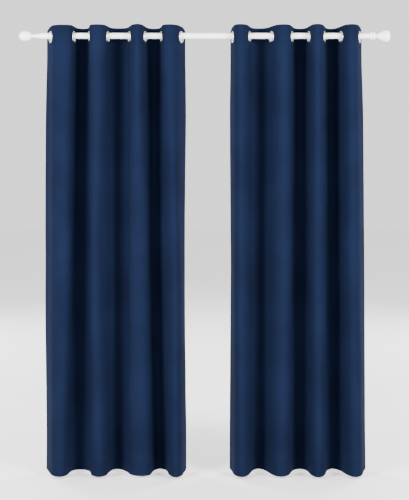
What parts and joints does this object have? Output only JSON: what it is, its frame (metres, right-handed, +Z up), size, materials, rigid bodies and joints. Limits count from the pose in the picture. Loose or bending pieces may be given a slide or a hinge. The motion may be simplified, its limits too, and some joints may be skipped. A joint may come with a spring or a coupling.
{
  "type": "window curtains",
  "caption": "Pair of floor-length eyelet curtains in folds on a telescopic rod, with wall brackets and finials.",
  "frame": {"origin": "centre of the left wall plate's back face, level with the rod's axis", "axes": "+X along the rod to the right as seen from the room, +Y into the wall (the room is at -Y), +Z up"},
  "size_m": [1.7758, 0.1655, 2.134],
  "materials": {
    "cloth": "smooth dull satin weave, blackout cloth",
    "eyelet": "satin silver plating",
    "rod_paint": "semi-gloss white enamel",
    "finial_resin": "cast resin with the rod's white enamel",
    "plug_plastic": "moulded",
    "screw_steel": "plated"
  },
  "bodies": {
    "brackets": {"bracket_left_wall_plate": "rod_paint", "bracket_left_arm": "rod_paint", "bracket_right_wall_plate": "rod_paint", "bracket_right_arm": "rod_paint"},
    "clamp_left": {"bracket_left_clamp_screw": "screw_steel"},
    "clamp_right": {"bracket_right_clamp_screw": "screw_steel"},
    "rod": {"rod_outer_tube": "rod_paint"},
    "rod_extension": {"rod_inner_tube": "rod_paint"},
    "finial_left": {"finial_left": "finial_resin", "finial_left_plug": "plug_plastic"},
    "finial_right": {"finial_right": "finial_resin", "finial_right_collar": "finial_resin"},
    "left_section_1": {"curtain_left_section_1": "cloth", "curtain_left_eyelet_front_1": "eyelet", "curtain_left_eyelet_back_1": "eyelet"},
    "left_section_2": {"curtain_left_section_2": "cloth", "curtain_left_eyelet_front_2": "eyelet", "curtain_left_eyelet_back_2": "eyelet"},
    "left_section_3": {"curtain_left_section_3": "cloth", "curtain_left_eyelet_front_3": "eyelet", "curtain_left_eyelet_back_3": "eyelet"},
    "left_section_4": {"curtain_left_section_4": "cloth", "curtain_left_eyelet_front_4": "eyelet", "curtain_left_eyelet_back_4": "eyelet"},
    "left_section_5": {"curtain_left_section_5": "cloth", "curtain_left_eyelet_front_5": "eyelet", "curtain_left_eyelet_back_5": "eyelet"},
    "left_section_6": {"curtain_left_section_6": "cloth", "curtain_left_eyelet_front_6": "eyelet", "curtain_left_eyelet_back_6": "eyelet"},
    "left_section_7": {"curtain_left_section_7": "cloth", "curtain_left_eyelet_front_7": "eyelet", "curtain_left_eyelet_back_7": "eyelet"},
    "left_section_8": {"curtain_left_section_8": "cloth", "curtain_left_eyelet_front_8": "eyelet", "curtain_left_eyelet_back_8": "eyelet"},
    "right_section_1": {"curtain_right_section_1": "cloth", "curtain_right_eyelet_front_1": "eyelet", "curtain_right_eyelet_back_1": "eyelet"},
    "right_section_2": {"curtain_right_section_2": "cloth", "curtain_right_eyelet_front_2": "eyelet", "curtain_right_eyelet_back_2": "eyelet"},
    "right_section_3": {"curtain_right_section_3": "cloth", "curtain_right_eyelet_front_3": "eyelet", "curtain_right_eyelet_back_3": "eyelet"},
    "right_section_4": {"curtain_right_section_4": "cloth", "curtain_right_eyelet_front_4": "eyelet", "curtain_right_eyelet_back_4": "eyelet"},
    "right_section_5": {"curtain_right_section_5": "cloth", "curtain_right_eyelet_front_5": "eyelet", "curtain_right_eyelet_back_5": "eyelet"},
    "right_section_6": {"curtain_right_section_6": "cloth", "curtain_right_eyelet_front_6": "eyelet", "curtain_right_eyelet_back_6": "eyelet"},
    "right_section_7": {"curtain_right_section_7": "cloth", "curtain_right_eyelet_front_7": "eyelet", "curtain_right_eyelet_back_7": "eyelet"},
    "right_section_8": {"curtain_right_section_8": "cloth", "curtain_right_eyelet_front_8": "eyelet", "curtain_right_eyelet_back_8": "eyelet"}
  },
  "joints": [
    {"name": "rod_lift", "type": "slide", "parent": "brackets", "child": "rod", "axis": [0, 0, 1], "range_m": [0, 0.05]},
    {"name": "rod_extend", "type": "slide", "parent": "rod", "child": "rod_extension", "axis": [1, 0, 0], "range_m": [0, 0.35]},
    {"name": "finial_left_pull", "type": "slide", "parent": "rod", "child": "finial_left", "axis": [-1, 0, 0], "range_m": [0, 0.06]},
    {"name": "finial_right_pull", "type": "slide", "parent": "rod_extension", "child": "finial_right", "axis": [1, 0, 0], "range_m": [0, 0.04]},
    {"name": "clamp_left_travel", "type": "slide", "parent": "brackets", "child": "clamp_left", "axis": [0, 0, -1], "range_m": [0, 0.006]},
    {"name": "clamp_right_travel", "type": "slide", "parent": "brackets", "child": "clamp_right", "axis": [0, 0, -1], "range_m": [0, 0.006]},
    {"name": "left_draw", "type": "hinge", "parent": "rod", "child": "left_section_1", "pos_m": [-0.038, -0.095, -0.0054], "axis": [0, 0, -1], "range_deg": [-6.5, 16]},
    {"name": "left_fold_1", "type": "hinge", "parent": "left_section_1", "child": "left_section_2", "pos_m": [0.017, -0.1432, -0.0054], "axis": [0, 0, -1], "range_deg": [-32, 13]},
    {"name": "left_fold_2", "type": "hinge", "parent": "left_section_2", "child": "left_section_3", "pos_m": [0.109, -0.02771, -0.0054], "axis": [0, 0, -1], "range_deg": [-13, 32]},
    {"name": "left_fold_3", "type": "hinge", "parent": "left_section_3", "child": "left_section_4", "pos_m": [0.19025, -0.15498, -0.0054], "axis": [0, 0, -1], "range_deg": [-32, 13]},
    {"name": "left_fold_4", "type": "hinge", "parent": "left_section_4", "child": "left_section_5", "pos_m": [0.286, -0.04207, -0.0054], "axis": [0, 0, -1], "range_deg": [-13, 32]},
    {"name": "left_fold_5", "type": "hinge", "parent": "left_section_5", "child": "left_section_6", "pos_m": [0.3745, -0.16442, -0.0054], "axis": [0, 0, -1], "range_deg": [-32, 13]},
    {"name": "left_fold_6", "type": "hinge", "parent": "left_section_6", "child": "left_section_7", "pos_m": [0.451, -0.02966, -0.0054], "axis": [0, 0, -1], "range_deg": [-13, 32]},
    {"name": "left_fold_7", "type": "hinge", "parent": "left_section_7", "child": "left_section_8", "pos_m": [0.537, -0.15422, -0.0054], "axis": [0, 0, -1], "range_deg": [-32, 13]},
    {"name": "right_draw", "type": "hinge", "parent": "rod", "child": "right_section_1", "pos_m": [1.4365, -0.095, -0.0054], "axis": [0, 0, 1], "range_deg": [-6.5, 16]},
    {"name": "right_fold_1", "type": "hinge", "parent": "right_section_1", "child": "right_section_2", "pos_m": [1.39225, -0.15911, -0.0054], "axis": [0, 0, 1], "range_deg": [-32, 13]},
    {"name": "right_fold_2", "type": "hinge", "parent": "right_section_2", "child": "right_section_3", "pos_m": [1.3085, -0.02666, -0.0054], "axis": [0, 0, 1], "range_deg": [-13, 32]},
    {"name": "right_fold_3", "type": "hinge", "parent": "right_section_3", "child": "right_section_4", "pos_m": [1.232, -0.16349, -0.0054], "axis": [0, 0, 1], "range_deg": [-32, 13]},
    {"name": "right_fold_4", "type": "hinge", "parent": "right_section_4", "child": "right_section_5", "pos_m": [1.1545, -0.02969, -0.0054], "axis": [0, 0, 1], "range_deg": [-13, 32]},
    {"name": "right_fold_5", "type": "hinge", "parent": "right_section_5", "child": "right_section_6", "pos_m": [1.065, -0.15473, -0.0054], "axis": [0, 0, 1], "range_deg": [-32, 13]},
    {"name": "right_fold_6", "type": "hinge", "parent": "right_section_6", "child": "right_section_7", "pos_m": [0.9635, -0.04038, -0.0054], "axis": [0, 0, 1], "range_deg": [-13, 32]},
    {"name": "right_fold_7", "type": "hinge", "parent": "right_section_7", "child": "right_section_8", "pos_m": [0.8715, -0.16029, -0.0054], "axis": [0, 0, 1], "range_deg": [-32, 13]}
  ],
  "couplings": [
    {"joint": "left_fold_1", "follows": "left_draw", "ratio": -2},
    {"joint": "left_fold_2", "follows": "left_draw", "ratio": 2},
    {"joint": "left_fold_3", "follows": "left_draw", "ratio": -2},
    {"joint": "left_fold_4", "follows": "left_draw", "ratio": 2},
    {"joint": "left_fold_5", "follows": "left_draw", "ratio": -2},
    {"joint": "left_fold_6", "follows": "left_draw", "ratio": 2},
    {"joint": "left_fold_7", "follows": "left_draw", "ratio": -2},
    {"joint": "right_fold_1", "follows": "right_draw", "ratio": -2},
    {"joint": "right_fold_2", "follows": "right_draw", "ratio": 2},
    {"joint": "right_fold_3", "follows": "right_draw", "ratio": -2},
    {"joint": "right_fold_4", "follows": "right_draw", "ratio": 2},
    {"joint": "right_fold_5", "follows": "right_draw", "ratio": -2},
    {"joint": "right_fold_6", "follows": "right_draw", "ratio": 2},
    {"joint": "right_fold_7", "follows": "right_draw", "ratio": -2}
  ]
}
